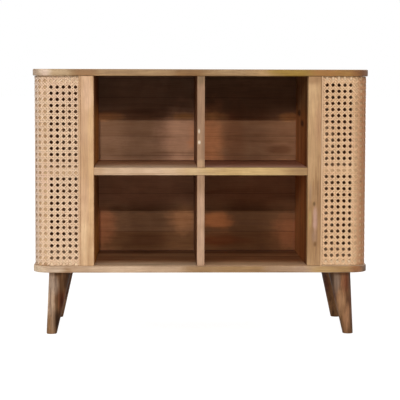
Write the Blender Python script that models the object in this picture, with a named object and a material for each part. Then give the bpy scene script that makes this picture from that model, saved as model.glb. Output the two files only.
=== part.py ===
"""Open-front cabinet with cane-wrapped ends: four cubbies, two hollow end bays and four splayed legs.

Metres, +Z up, front towards -Y. The origin is on the floor under the middle of the cabinet.
Neighbouring pieces keep a glue line between them, so each one is a solid of its own.
"""

from math import copysign, cos, pi, sin

import bmesh
import bpy
from mathutils import Matrix, Vector

# Carcass boards
WIDTH = 0.900            # top and bottom boards, end to end
DEPTH = 0.396            # top and bottom boards, front to back
BOARD = 0.018            # thickness of the top and bottom boards
CORNER = 0.046           # radius of their front corners, in plan
BOARD_EASE = 0.0025      # rounding along the edges of the top and bottom boards

# Cubbies
CUBBY_WIDTH = 0.276      # clear width of one cubby
CUBBY_HEIGHT = 0.244     # clear height of one cubby
SHELF = 0.020            # thickness of the shelf
DIVIDER = 0.020          # thickness of the divider
PANEL = 0.018            # thickness of a side panel
FACE_SETBACK = 0.0015    # faces of posts, shelf and divider behind the edge of the boards
ARRIS = 0.0008           # chamfer along the edges of posts, shelf and divider

# Joints between boards
GLUE = 0.0003            # clearance between pieces that are glued or rest on each other
HOUSING = 0.006          # depth of a housing that takes the end of a board
HOUSING_STOP = 0.030     # a stopped housing starts this far behind the face
TONGUE = 0.006           # thickness of the tongue between side panel and front post
TONGUE_LENGTH = 0.008

# Posts
POST_WIDTH = 0.042       # front post, across
POST_DEPTH = 0.034       # front post, front to back
REAR_POST_WIDTH = 0.048  # rear post, across
REAR_POST_DEPTH = 0.040  # rear post, front to back
REBATE = 0.007           # width of the rebate that takes the edge of the cane
DOWEL_RADIUS = 0.004
DOWEL_LENGTH = 0.030
DOWEL_IN_BOARD = 0.012   # part of a dowel that sits in the top or bottom board

# Cane webs, the formers behind them and the beads over their edges
WEB_SETBACK = 0.0045     # outer face of the cane behind the edge of the boards
WEB = 0.0025             # thickness of the cane
WEB_OPENING = 0.53       # an opening of the cane's plain grid, as a share of its step each way
WEB_ROWS = 6             # rows of openings below the middle former, and as many above it
WEB_FRONT_COLUMNS = 2
WEB_END_COLUMNS = 8
UPPER_FORMER = 0.018
MIDDLE_FORMER = 0.020
LOWER_FORMER = 0.014
CORNER_STRIP = 0.003     # thickness of the bent strip behind the cane at the corner
BEAD_WIDTH = 0.005
BEAD_SETBACK = 0.0020    # outer face of a bead behind the edge of the boards

# Back panel and its screws
BACK = 0.010             # thickness of the back panel
BACK_SETBACK = 0.0035    # rear face of the panel in front of the rear edge of the boards
BACK_LAP = 0.008         # how far the panel laps onto each rear post
SCREW_RADIUS = 0.0019
SCREW_LENGTH = 0.030     # under the head
SCREW_HEAD_RADIUS = 0.0034
SCREW_HEAD = 0.0020      # height of the head
SCREW_MARGIN = 0.046     # from the ends of the back panel to the outer screws

# Legs
LEG_HEIGHT = 0.171       # floor to the underside of the bottom board
LEG_TOP_RADIUS = 0.0300
LEG_FOOT_RADIUS = 0.0138
LEG_ARRIS = 0.0010
LEG_INSET_X = 0.0698     # leg's top centre from the end of the board
LEG_INSET_Y = 0.0690     # leg's top centre from the front or rear edge of the board
LEG_SPLAY = 0.0225       # how far the foot stands out from the top, in X and in Y
BOLT_RADIUS = 0.004
BOLT_IN_LEG = 0.038
BOLT_IN_BOARD = 0.0115
INSERT_WALL = 0.0020
INSERT_LENGTH = 0.0125

# Roundness
CORNER_STEPS = 10
ROUND_STEPS = 16
LEG_STEPS = 28
BEAD_STEPS = 6
SHARP = 0.6              # angle between two faces, in radians, from which their edge is a real one
OVERCUT = 0.002          # how far a cutter runs past the face that it opens

# Levels and planes that follow from the sizes above: a piece that stands between the two boards
# runs from STAND_LOW to STAND_HIGH, and one with housed ears from EAR_LOW to EAR_HIGH
FLOOR_Z = LEG_HEIGHT + BOARD
SHELF_Z = FLOOR_Z + CUBBY_HEIGHT
SHELF_TOP_Z = SHELF_Z + SHELF
CEILING_Z = SHELF_TOP_Z + CUBBY_HEIGHT
MIDDLE_Z = (SHELF_Z + SHELF_TOP_Z) / 2
STAND_LOW, STAND_HIGH = FLOOR_Z + GLUE, CEILING_Z - GLUE
EAR_LOW, EAR_HIGH = FLOOR_Z - HOUSING + GLUE, CEILING_Z + HOUSING - GLUE
END_X = WIDTH / 2
FRONT_Y = -DEPTH / 2
REAR_Y = DEPTH / 2
FACE_Y = FRONT_Y + FACE_SETBACK
INNER_X = DIVIDER / 2 + CUBBY_WIDTH
PANEL_X = INNER_X + PANEL
POST_X = INNER_X + POST_WIDTH
POST_Y = FACE_Y + POST_DEPTH
REAR_POST_X = END_X - FACE_SETBACK - REAR_POST_WIDTH
REAR_POST_Y = REAR_Y - FACE_SETBACK - REAR_POST_DEPTH
BACK_Y = REAR_Y - BACK_SETBACK - BACK
LAP_Y = (FACE_Y + BACK_Y) / 2
PANEL_FRONT_Y, PANEL_REAR_Y = POST_Y + GLUE, BACK_Y - GLUE
WEB_EDGE_X, WEB_EDGE_Y = POST_X - REBATE + GLUE, REAR_POST_Y + REBATE - GLUE
FORMER_INSET = WEB_SETBACK + WEB + GLUE
NOTCH_INSET = FORMER_INSET + CORNER_STRIP + GLUE
LEG_X = END_X - LEG_INSET_X
LEG_Y = REAR_Y - LEG_INSET_Y
SIDES = (("left", -1), ("right", 1))


def clear_scene():
    """Removes what the scene holds."""
    for obj in list(bpy.data.objects):
        bpy.data.objects.remove(obj)


def finish(name, colour, roughness, metallic=0.0):
    """A Principled material."""
    material = bpy.data.materials.new(name)
    material.use_nodes = True
    shader = material.node_tree.nodes["Principled BSDF"]
    shader.inputs["Base Color"].default_value = (*colour, 1.0)
    shader.inputs["Roughness"].default_value = roughness
    shader.inputs["Metallic"].default_value = metallic
    material.diffuse_color = (*colour, 1.0)
    return material


def add_object(name, mesh_builder, material, location=(0, 0, 0)):
    """Turns a bmesh into a named piece of the cabinet."""
    bmesh.ops.recalc_face_normals(mesh_builder, faces=mesh_builder.faces)
    mesh = bpy.data.meshes.new(name)
    mesh_builder.to_mesh(mesh)
    mesh_builder.free()
    obj = bpy.data.objects.new(name, mesh)
    bpy.context.scene.collection.objects.link(obj)
    obj.location = location
    obj.parent = cabinet
    if material:
        mesh.materials.append(material)
    return obj


def add_box(mesh_builder, x_span, y_span, z_span):
    """Adds a closed box between three pairs of limits."""
    x_span, y_span, z_span = sorted(x_span), sorted(y_span), sorted(z_span)
    corners = [mesh_builder.verts.new((x, y, z)) for x in x_span for y in y_span for z in z_span]
    for loop in ((0, 1, 3, 2), (4, 6, 7, 5), (0, 4, 5, 1), (2, 3, 7, 6), (0, 2, 6, 4), (1, 5, 7, 3)):
        mesh_builder.faces.new([corners[i] for i in loop])


def box(name, x_span, y_span, z_span, material):
    """A board or post with its origin at its own centre."""
    centre = Vector([sum(span) / 2 for span in (x_span, y_span, z_span)])
    mesh_builder = bmesh.new()
    spans = [[limit - middle for limit in span] for span, middle in zip((x_span, y_span, z_span), centre)]
    add_box(mesh_builder, *spans)
    return add_object(name, mesh_builder, material, centre)


def prism(name, outline, thickness, material, location, turn=None):
    """A flat outline pushed up by a thickness, then turned into place."""
    mesh_builder = bmesh.new()
    face = mesh_builder.faces.new([mesh_builder.verts.new((a, b, 0)) for a, b in outline])
    pushed = bmesh.ops.extrude_face_region(mesh_builder, geom=[face])
    lifted = [item for item in pushed["geom"] if isinstance(item, bmesh.types.BMVert)]
    bmesh.ops.translate(mesh_builder, verts=lifted, vec=(0, 0, thickness))
    if turn:
        bmesh.ops.transform(mesh_builder, matrix=turn, verts=mesh_builder.verts)
    return add_object(name, mesh_builder, material, location)


def stand(name, outline, material):
    """A prism that stands between the bottom board and the top board."""
    return prism(name, outline, STAND_HIGH - STAND_LOW, material, (0, 0, STAND_LOW))


def add_turned(mesh_builder, profile, steps, place=None):
    """Adds a turned solid from a profile of (radius, height) that starts and ends on the axis."""
    rings = []
    for radius, height in profile:
        count = steps if radius else 1
        angles = [2 * pi * i / steps for i in range(count)]
        rings.append([mesh_builder.verts.new((radius * cos(a), radius * sin(a), height)) for a in angles])
    for lower, upper in zip(rings, rings[1:]):
        for i in range(steps):
            j = (i + 1) % steps
            loop = [ring[k % len(ring)] for ring, k in ((lower, i), (lower, j), (upper, j), (upper, i))]
            mesh_builder.faces.new(list(dict.fromkeys(loop)))
    if place:
        made = [vert for ring in rings for vert in ring]
        bmesh.ops.transform(mesh_builder, matrix=place, verts=made)


def rod_profile(radius, low, high, chamfer=0.0):
    """The profile of a plain rod, with chamfered ends where asked."""
    if not chamfer:
        return [(0, low), (radius, low), (radius, high), (0, high)]
    small = radius - chamfer
    low_end, high_end = [(small, low), (radius, low + chamfer)], [(radius, high - chamfer), (small, high)]
    return [(0, low), *low_end, *high_end, (0, high)]


def cut(obj, mesh_builder):
    """Cuts the closed shapes of a bmesh, given in the cabinet's own frame, out of a piece."""
    cutter = add_object(obj.name + "_cutter", mesh_builder, None)
    cutter.hide_render = True
    cutter.display_type = "WIRE"
    boolean = obj.modifiers.new("Cut", "BOOLEAN")
    boolean.object = cutter
    boolean.solver = "EXACT"


def ease(obj, width, segments=1):
    """Rounds or chamfers the outward edges of a piece and leaves the corners of rebates sharp."""
    mesh_builder = bmesh.new()
    mesh_builder.from_mesh(obj.data)
    weight = mesh_builder.edges.layers.float.new("bevel_weight_edge")
    for edge in mesh_builder.edges:
        edge[weight] = float(edge.is_convex and edge.calc_face_angle() > SHARP)
    mesh_builder.to_mesh(obj.data)
    mesh_builder.free()
    bevel = obj.modifiers.new("Eased edges", "BEVEL")
    bevel.width = width
    bevel.segments = segments
    bevel.limit_method = "WEIGHT"


def smooth_round(obj):
    """Shades a round piece smooth and keeps its real edges sharp."""
    obj.data.shade_smooth()
    obj.data.set_sharp_from_angle(angle=SHARP)


def corner_arc(inset, side):
    """The front corner of the boards at one side, inset, from the front edge round to the end."""
    radius = CORNER - inset
    centre_x, centre_y = END_X - CORNER, FRONT_Y + CORNER
    steps = [i / CORNER_STEPS * pi / 2 for i in range(CORNER_STEPS + 1)]
    return [(side * (centre_x + radius * sin(a)), centre_y - radius * cos(a)) for a in steps]


def at_side(outline, side):
    """An outline drawn for the right-hand side, at either side."""
    return [(side * x, y) for x, y in outline]


def board_outline():
    """The plan of the top and bottom boards: round in front, square behind."""
    right, left = corner_arc(0, 1), corner_arc(0, -1)
    return right + [(END_X, REAR_Y), (-END_X, REAR_Y)] + left[::-1]


def screw_places():
    """(x, z, what the screw bites) for each screw in the back panel."""
    low, high = FLOOR_Z + SCREW_MARGIN, CEILING_Z - SCREW_MARGIN
    places = [(0, z, "divider") for z in (low, MIDDLE_Z, high)]
    for side_name, side in SIDES:
        panel_x, post_x = side * (INNER_X + PANEL / 2), side * (REAR_POST_X + BACK_LAP / 2)
        places += [(panel_x, z, side_name + "_side_panel") for z in (low, MIDDLE_Z, high)]
        places += [(post_x, z, side_name + "_rear_post") for z in (low, high)]
    return places


def add_screw_bores(mesh_builder, bitten=None):
    """Adds the bores that the screws need, in the back panel or in the piece that they bite."""
    start = REAR_Y - BACK_SETBACK - SCREW_LENGTH - GLUE if bitten else BACK_Y - OVERCUT
    end = BACK_Y + OVERCUT if bitten else REAR_Y - BACK_SETBACK + OVERCUT
    for x, z, piece in screw_places():
        if bitten in (None, piece):
            place = Matrix.Translation((x, start, z)) @ Matrix.Rotation(-pi / 2, 4, "X")
            add_turned(mesh_builder, rod_profile(SCREW_RADIUS + GLUE, 0, end - start), ROUND_STEPS, place)


def post_centres():
    """(x, y) of the four posts, for their dowels."""
    front = (INNER_X + (POST_WIDTH - REBATE) / 2, FACE_Y + POST_DEPTH / 2)
    rear = (REAR_POST_X + REAR_POST_WIDTH / 2, REAR_POST_Y + REAR_POST_DEPTH / 2)
    return {
        f"{side_name}_{place}": (side * x, y)
        for side_name, side in SIDES
        for place, (x, y) in (("front", front), ("rear", rear))
    }


def add_dowel_bores(mesh_builder, centres, z_low, z_high):
    """Adds upright bores for dowels."""
    profile = rod_profile(DOWEL_RADIUS + GLUE, z_low, z_high)
    for x, y in centres:
        add_turned(mesh_builder, profile, ROUND_STEPS, Matrix.Translation((x, y, 0)))


def add_post_bores(mesh_builder, place):
    """Adds the bores for the dowels at both ends of one post."""
    reach = DOWEL_LENGTH - DOWEL_IN_BOARD + GLUE
    centre = [post_centres()[place]]
    add_dowel_bores(mesh_builder, centre, STAND_LOW - OVERCUT, FLOOR_Z + reach)
    add_dowel_bores(mesh_builder, centre, CEILING_Z - reach, STAND_HIGH + OVERCUT)


def add_board_housings(mesh_builder, z_low, z_high):
    """Adds the housings that take the side panels and the divider, in the top or bottom board."""
    for _, side in SIDES:
        x_span = (side * (INNER_X - GLUE), side * (PANEL_X + GLUE))
        add_box(mesh_builder, x_span, (POST_Y, BACK_Y), (z_low, z_high))
    half = DIVIDER / 2 + GLUE
    add_box(mesh_builder, (-half, half), (FACE_Y + HOUSING_STOP - GLUE, BACK_Y), (z_low, z_high))


def make_boards():
    """The top board and the bottom board, housed for the uprights and bored for dowels and leg inserts."""
    top = prism("top_board", board_outline(), BOARD, light_wood, (0, 0, CEILING_Z))
    ease(top, BOARD_EASE, 2)
    tools = bmesh.new()
    add_board_housings(tools, CEILING_Z - OVERCUT, CEILING_Z + HOUSING)
    add_dowel_bores(tools, post_centres().values(), CEILING_Z - OVERCUT, CEILING_Z + DOWEL_IN_BOARD + GLUE)
    cut(top, tools)

    bottom = prism("bottom_board", board_outline(), BOARD, light_wood, (0, 0, LEG_HEIGHT))
    ease(bottom, BOARD_EASE, 2)
    tools = bmesh.new()
    add_board_housings(tools, FLOOR_Z - HOUSING, FLOOR_Z + OVERCUT)
    add_dowel_bores(tools, post_centres().values(), FLOOR_Z - DOWEL_IN_BOARD - GLUE, FLOOR_Z + OVERCUT)
    bore_radius, bore_end = BOLT_RADIUS + INSERT_WALL + 2 * GLUE, LEG_HEIGHT + INSERT_LENGTH + GLUE
    bore = rod_profile(bore_radius, LEG_HEIGHT - OVERCUT, bore_end)
    for x, y in leg_tops().values():
        add_turned(tools, bore, ROUND_STEPS, Matrix.Translation((x, y, 0)))
    cut(bottom, tools)


def make_shelf():
    """The shelf: its ends are housed in the side panels, and its rear half is slotted for the divider."""
    half_width, ear = INNER_X - GLUE, INNER_X + HOUSING - GLUE
    slot = DIVIDER / 2 + GLUE
    right_half = [
        (half_width, FACE_Y), (half_width, PANEL_FRONT_Y), (ear, PANEL_FRONT_Y),
        (ear, PANEL_REAR_Y), (slot, PANEL_REAR_Y), (slot, LAP_Y),
    ]
    outline = right_half + at_side(right_half, -1)[::-1]
    ease(prism("shelf", outline, SHELF, light_wood, (0, 0, SHELF_Z)), ARRIS)


def make_divider():
    """The divider: housed in the top and bottom boards, and slotted in front where the shelf passes."""
    slot_low, slot_high = SHELF_Z - GLUE, SHELF_TOP_Z + GLUE
    ear_y, slot_y = FACE_Y + HOUSING_STOP, LAP_Y + GLUE
    outline = [
        (FACE_Y, STAND_LOW), (ear_y, STAND_LOW), (ear_y, EAR_LOW), (PANEL_REAR_Y, EAR_LOW),
        (PANEL_REAR_Y, EAR_HIGH), (ear_y, EAR_HIGH), (ear_y, STAND_HIGH), (FACE_Y, STAND_HIGH),
        (FACE_Y, slot_high), (slot_y, slot_high), (slot_y, slot_low), (FACE_Y, slot_low),
    ]
    # The outline is drawn as (y, z) and stands across the cabinet.
    turn = Matrix(((0, 0, 1, 0), (1, 0, 0, 0), (0, 1, 0, 0), (0, 0, 0, 1)))
    divider = prism("divider", outline, DIVIDER, light_wood, (-DIVIDER / 2, 0, 0), turn)
    ease(divider, ARRIS)
    tools = bmesh.new()
    add_screw_bores(tools, "divider")
    cut(divider, tools)


def make_side_panel(side_name, side):
    """A side panel: a tongue in front, housed ends, and a housing across its inner face for the shelf."""
    tongue_y = POST_Y - TONGUE_LENGTH
    tongue_in, tongue_out = INNER_X + (PANEL - TONGUE) / 2, INNER_X + (PANEL + TONGUE) / 2
    outline = [
        (INNER_X, PANEL_FRONT_Y), (tongue_in, PANEL_FRONT_Y), (tongue_in, tongue_y),
        (tongue_out, tongue_y), (tongue_out, PANEL_FRONT_Y), (PANEL_X, PANEL_FRONT_Y),
        (PANEL_X, PANEL_REAR_Y), (INNER_X, PANEL_REAR_Y),
    ]
    name, height = side_name + "_side_panel", EAR_HIGH - EAR_LOW
    panel = prism(name, at_side(outline, side), height, inner_wood, (0, 0, EAR_LOW))
    tools = bmesh.new()
    tongue_x = (side * (INNER_X - OVERCUT), side * (PANEL_X + OVERCUT))
    tongue_span = (tongue_y - OVERCUT, PANEL_FRONT_Y)
    add_box(tools, tongue_x, tongue_span, (EAR_LOW - OVERCUT, STAND_LOW))
    add_box(tools, tongue_x, tongue_span, (STAND_HIGH, EAR_HIGH + OVERCUT))
    housing_x = (side * (INNER_X - OVERCUT), side * (INNER_X + HOUSING))
    housing_y = (PANEL_FRONT_Y - OVERCUT, PANEL_REAR_Y + OVERCUT)
    add_box(tools, housing_x, housing_y, (SHELF_Z - GLUE, SHELF_TOP_Z + GLUE))
    add_screw_bores(tools, side_name + "_side_panel")
    cut(panel, tools)


def make_front_post(side_name, side):
    """A front post: rebated for the edge of the cane, grooved for the side panel, bored for dowels."""
    rebate_x, rebate_y = POST_X - REBATE, FRONT_Y + FORMER_INSET
    outline = [
        (INNER_X, FACE_Y), (rebate_x, FACE_Y), (rebate_x, rebate_y),
        (POST_X, rebate_y), (POST_X, POST_Y), (INNER_X, POST_Y),
    ]
    post = stand(side_name + "_front_post", at_side(outline, side), light_wood)
    ease(post, ARRIS)
    tools = bmesh.new()
    groove, groove_middle = TONGUE / 2 + GLUE, INNER_X + PANEL / 2
    groove_x = (side * (groove_middle - groove), side * (groove_middle + groove))
    groove_y = (POST_Y - TONGUE_LENGTH - GLUE, POST_Y + OVERCUT)
    add_box(tools, groove_x, groove_y, (STAND_LOW - OVERCUT, STAND_HIGH + OVERCUT))
    add_post_bores(tools, side_name + "_front")
    cut(post, tools)


def make_rear_post(side_name, side):
    """A rear post: rebated outside for the cane and inside for the back panel."""
    out_x, out_y = END_X - FACE_SETBACK, REAR_Y - FACE_SETBACK
    rebate_x, rebate_y = END_X - FORMER_INSET, REAR_POST_Y + REBATE
    lap_x, lap_y = REAR_POST_X + BACK_LAP + GLUE, BACK_Y - GLUE
    outline = [
        (REAR_POST_X, REAR_POST_Y), (rebate_x, REAR_POST_Y), (rebate_x, rebate_y), (out_x, rebate_y),
        (out_x, out_y), (lap_x, out_y), (lap_x, lap_y), (REAR_POST_X, lap_y),
    ]
    post = stand(side_name + "_rear_post", at_side(outline, side), light_wood)
    ease(post, ARRIS)
    tools = bmesh.new()
    add_post_bores(tools, side_name + "_rear")
    add_screw_bores(tools, side_name + "_rear_post")
    cut(post, tools)


def make_dowels():
    """A dowel at each end of each post."""
    reach = DOWEL_LENGTH - DOWEL_IN_BOARD
    for place, (x, y) in post_centres().items():
        for end, middle in (("lower", FLOOR_Z + reach), ("upper", CEILING_Z + DOWEL_IN_BOARD)):
            builder = bmesh.new()
            add_turned(builder, rod_profile(DOWEL_RADIUS, -DOWEL_LENGTH, 0, ARRIS), ROUND_STEPS)
            smooth_round(add_object(f"{place}_post_{end}_dowel", builder, light_wood, (x, y, middle)))


def make_former(name, side, z_low, thickness):
    """A former: it fills an end bay in plan and carries the cane, notched for posts and corner strip."""
    panel_x, post_x = PANEL_X + GLUE, POST_X + GLUE
    rear_post_x, rear_post_y = REAR_POST_X - GLUE, REAR_POST_Y - GLUE
    front_notch_x, end_notch_y = END_X - CORNER - GLUE, FRONT_Y + CORNER + GLUE
    outline = [
        (panel_x, PANEL_FRONT_Y), (post_x, PANEL_FRONT_Y), (post_x, FRONT_Y + FORMER_INSET),
        (front_notch_x, FRONT_Y + FORMER_INSET), (front_notch_x, FRONT_Y + NOTCH_INSET),
        *corner_arc(NOTCH_INSET, 1),
        (END_X - NOTCH_INSET, end_notch_y), (END_X - FORMER_INSET, end_notch_y),
        (END_X - FORMER_INSET, rear_post_y), (rear_post_x, rear_post_y),
        (rear_post_x, PANEL_REAR_Y), (panel_x, PANEL_REAR_Y),
    ]
    prism(name, at_side(outline, side), thickness, light_wood, (0, 0, z_low))


def make_corner_strip(side_name, side):
    """The bent strip that backs the cane round the corner, from the bottom board to the top board."""
    outline = corner_arc(FORMER_INSET, 1) + corner_arc(FORMER_INSET + CORNER_STRIP, 1)[::-1]
    smooth_round(stand(side_name + "_corner_strip", at_side(outline, side), light_wood))


def even_openings(low, high, count):
    """(start, end) of each opening along one stretch of the cane's plain grid."""
    step = (high - low) / count
    middles = [low + step * (number + 0.5) for number in range(count)]
    return [(middle - step * WEB_OPENING / 2, middle + step * WEB_OPENING / 2) for middle in middles]


def add_web_openings(mesh_builder, side):
    """Adds the openings of a cane web's plain grid, in front and at the end, between the formers."""
    below = even_openings(FLOOR_Z + LOWER_FORMER, MIDDLE_Z - MIDDLE_FORMER / 2, WEB_ROWS)
    above = even_openings(MIDDLE_Z + MIDDLE_FORMER / 2, CEILING_Z - UPPER_FORMER, WEB_ROWS)
    front_y = (FRONT_Y + WEB_SETBACK - OVERCUT, FRONT_Y + WEB_SETBACK + WEB + OVERCUT)
    end_x = (side * (END_X - WEB_SETBACK - WEB - OVERCUT), side * (END_X - WEB_SETBACK + OVERCUT))
    front = even_openings(POST_X, END_X - CORNER, WEB_FRONT_COLUMNS)
    end = even_openings(FRONT_Y + CORNER, REAR_POST_Y, WEB_END_COLUMNS)
    for z_span in below + above:
        for low_x, high_x in front:
            add_box(mesh_builder, (side * low_x, side * high_x), front_y, z_span)
        for y_span in end:
            add_box(mesh_builder, end_x, y_span, z_span)


def make_web(side_name, side):
    """A cane web: one open sheet from the front post round the corner and along the end to the rear post."""
    outer, inner = (
        [(WEB_EDGE_X, FRONT_Y + inset), *corner_arc(inset, 1), (END_X - inset, WEB_EDGE_Y)]
        for inset in (WEB_SETBACK, WEB_SETBACK + WEB)
    )
    web = stand(side_name + "_cane_web", at_side(outer + inner[::-1], side), cane)
    smooth_round(web)
    tools = bmesh.new()
    add_web_openings(tools, side)
    cut(web, tools)


def bead_outline():
    """The section of a bead, as (across, inwards): flat against the cane, crowned outside."""
    crown = WEB_SETBACK - GLUE - BEAD_SETBACK
    steps = [pi * i / BEAD_STEPS for i in range(BEAD_STEPS + 1)]
    return [(BEAD_WIDTH / 2 * (1 - cos(a)), crown * (1 - sin(a))) for a in steps]


def make_beads(side_name, side):
    """The two beads that hold the edges of a web down in the rebates of its posts."""
    front = [(WEB_EDGE_X + a, FRONT_Y + BEAD_SETBACK + b) for a, b in bead_outline()]
    rear = [(END_X - BEAD_SETBACK - b, WEB_EDGE_Y - a) for a, b in bead_outline()]
    for place, outline in (("front", front), ("rear", rear)):
        smooth_round(stand(f"{side_name}_{place}_bead", at_side(outline, side), cane))


def make_back():
    """The back panel and the screws that hold it."""
    x_span = (-REAR_POST_X - BACK_LAP, REAR_POST_X + BACK_LAP)
    y_span = (BACK_Y, BACK_Y + BACK)
    back = box("back_panel", x_span, y_span, (STAND_LOW, STAND_HIGH), inner_wood)
    tools = bmesh.new()
    add_screw_bores(tools)
    cut(back, tools)
    head_low = GLUE
    profile = [
        (0, -SCREW_LENGTH), (SCREW_RADIUS, -SCREW_LENGTH + 2 * SCREW_RADIUS), (SCREW_RADIUS, head_low),
        (SCREW_HEAD_RADIUS, head_low), (SCREW_HEAD_RADIUS, head_low + SCREW_HEAD / 2),
        (SCREW_HEAD_RADIUS / 2, head_low + SCREW_HEAD), (0, head_low + SCREW_HEAD),
    ]
    towards_rear = Matrix.Rotation(-pi / 2, 4, "X")
    for number, (x, z, _) in enumerate(screw_places(), 1):
        builder = bmesh.new()
        add_turned(builder, profile, ROUND_STEPS, towards_rear)
        smooth_round(add_object(f"back_screw_{number:02d}", builder, steel, (x, BACK_Y + BACK, z)))


def leg_tops():
    """(x, y) of the top centre of each leg."""
    return {
        f"{depth_name}_{side_name}": (side * LEG_X, depth * LEG_Y)
        for depth_name, depth in (("front", -1), ("rear", 1))
        for side_name, side in SIDES
    }


def keep_between(mesh_builder, low, high):
    """Cuts a mesh off flat at two levels and closes it."""
    for level, outwards in ((low, -1), (high, 1)):
        everything = mesh_builder.verts[:] + mesh_builder.edges[:] + mesh_builder.faces[:]
        plane = {"plane_co": (0, 0, level), "plane_no": (0, 0, outwards)}
        made = bmesh.ops.bisect_plane(mesh_builder, geom=everything, clear_outer=True, **plane)
        rim = [item for item in made["geom_cut"] if isinstance(item, bmesh.types.BMEdge)]
        bmesh.ops.contextual_create(mesh_builder, geom=rim)


def make_leg(place, x, y):
    """A tapered round leg that leans out to the corner, with its bolt and the insert that takes it."""
    length = LEG_HEIGHT - GLUE
    lean = Vector((copysign(LEG_SPLAY, x), copysign(LEG_SPLAY, y), -length))
    taper = (LEG_FOOT_RADIUS - LEG_TOP_RADIUS) / lean.length
    spare = LEG_TOP_RADIUS
    profile = [
        (0, -spare), (LEG_TOP_RADIUS - taper * spare, -spare),
        (LEG_FOOT_RADIUS + taper * spare, lean.length + spare), (0, lean.length + spare),
    ]
    builder = bmesh.new()
    add_turned(builder, profile, LEG_STEPS, lean.to_track_quat("Z", "Y").to_matrix().to_4x4())
    keep_between(builder, -length, 0)
    leg = add_object(place + "_leg", builder, dark_wood, (x, y, length))
    ease(leg, LEG_ARRIS)
    smooth_round(leg)
    bore = bmesh.new()
    centre = Matrix.Translation((x, y, 0))
    bore_low = LEG_HEIGHT - BOLT_IN_LEG - GLUE
    add_turned(bore, rod_profile(BOLT_RADIUS + GLUE, bore_low, LEG_HEIGHT + OVERCUT), ROUND_STEPS, centre)
    cut(leg, bore)

    builder = bmesh.new()
    add_turned(builder, rod_profile(BOLT_RADIUS, -BOLT_IN_LEG, BOLT_IN_BOARD, ARRIS), ROUND_STEPS)
    smooth_round(add_object(place + "_leg_bolt", builder, steel, (x, y, LEG_HEIGHT)))

    builder = bmesh.new()
    inside, outside = BOLT_RADIUS + GLUE, BOLT_RADIUS + GLUE + INSERT_WALL
    add_turned(builder, rod_profile(outside, 0, INSERT_LENGTH), ROUND_STEPS)
    insert = add_object(place + "_leg_insert", builder, steel, (x, y, LEG_HEIGHT))
    smooth_round(insert)
    bore = bmesh.new()
    bore_profile = rod_profile(inside, LEG_HEIGHT - OVERCUT, LEG_HEIGHT + INSERT_LENGTH + OVERCUT)
    add_turned(bore, bore_profile, ROUND_STEPS, centre)
    cut(insert, bore)


clear_scene()
cabinet = bpy.data.objects.new("cabinet", None)
bpy.context.scene.collection.objects.link(cabinet)
light_wood = finish("light mango wood", (0.56, 0.37, 0.21), 0.55)
inner_wood = finish("brown stained mango wood", (0.20, 0.11, 0.06), 0.55)
dark_wood = finish("walnut stained leg", (0.22, 0.13, 0.08), 0.45)
cane = finish("woven cane", (0.72, 0.52, 0.33), 0.6)
steel = finish("zinc plated steel", (0.60, 0.60, 0.58), 0.35, 1.0)

make_boards()
make_shelf()
make_divider()
for side_name, side in SIDES:
    make_side_panel(side_name, side)
    make_front_post(side_name, side)
    make_rear_post(side_name, side)
    make_former(side_name + "_upper_former", side, CEILING_Z - UPPER_FORMER - GLUE, UPPER_FORMER)
    make_former(side_name + "_middle_former", side, MIDDLE_Z - MIDDLE_FORMER / 2, MIDDLE_FORMER)
    make_former(side_name + "_lower_former", side, FLOOR_Z + GLUE, LOWER_FORMER)
    make_corner_strip(side_name, side)
    make_web(side_name, side)
    make_beads(side_name, side)
make_dowels()
make_back()
for place, (x, y) in leg_tops().items():
    make_leg(place, x, y)
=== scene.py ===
"""The looks of a low open-front cabinet of mango wood with cane-wrapped ends, in metres."""

import math
import bpy
import bmesh
from mathutils import Matrix, Vector


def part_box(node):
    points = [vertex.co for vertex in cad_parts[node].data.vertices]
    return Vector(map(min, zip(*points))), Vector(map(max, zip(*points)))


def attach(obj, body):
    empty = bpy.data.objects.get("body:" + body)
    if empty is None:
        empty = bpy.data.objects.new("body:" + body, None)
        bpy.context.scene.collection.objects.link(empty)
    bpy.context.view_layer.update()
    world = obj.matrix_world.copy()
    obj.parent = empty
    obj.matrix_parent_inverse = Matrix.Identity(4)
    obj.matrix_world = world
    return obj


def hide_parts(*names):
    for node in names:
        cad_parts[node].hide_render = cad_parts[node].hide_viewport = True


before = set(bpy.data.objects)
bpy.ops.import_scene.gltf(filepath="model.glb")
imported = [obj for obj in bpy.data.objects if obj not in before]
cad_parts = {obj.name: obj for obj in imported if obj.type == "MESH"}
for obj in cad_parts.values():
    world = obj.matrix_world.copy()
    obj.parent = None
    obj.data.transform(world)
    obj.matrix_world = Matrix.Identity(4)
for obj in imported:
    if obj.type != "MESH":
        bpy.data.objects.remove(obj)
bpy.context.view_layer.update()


# Top board
# A board of glued mango wood staves with round front corners and softened edges, under clear matt
# lacquer. It rests on the posts and panels, and its underside is stained brown over the cubbies.

def tint(red, green, blue):
    """A colour as a paint picker shows it, 0 to 255, made linear for a shader."""
    parts = [value / 255 for value in (red, green, blue)]
    linear = [p / 12.92 if p <= 0.04045 else ((p + 0.055) / 1.055) ** 2.4 for p in parts]
    return (*linear, 1.0)


def fill(node, feeds):
    """Gives inputs of a node plain values, or links a Flow, a socket or another node's first output."""
    for name, value in feeds.items():
        value = value.socket if isinstance(value, Flow) else value
        value = value.outputs[0] if isinstance(value, bpy.types.Node) else value
        if isinstance(value, bpy.types.NodeSocket):
            node.id_data.links.new(value, node.inputs[name])
        else:
            node.inputs[name].default_value = value


def place(tree, kind, feeds=None, **settings):
    """Adds a node, with its settings and what its inputs hold or are fed by."""
    node = tree.nodes.new(kind)
    for setting, value in settings.items():
        setattr(node, setting, value)
    fill(node, feeds or {})
    return node


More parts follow.
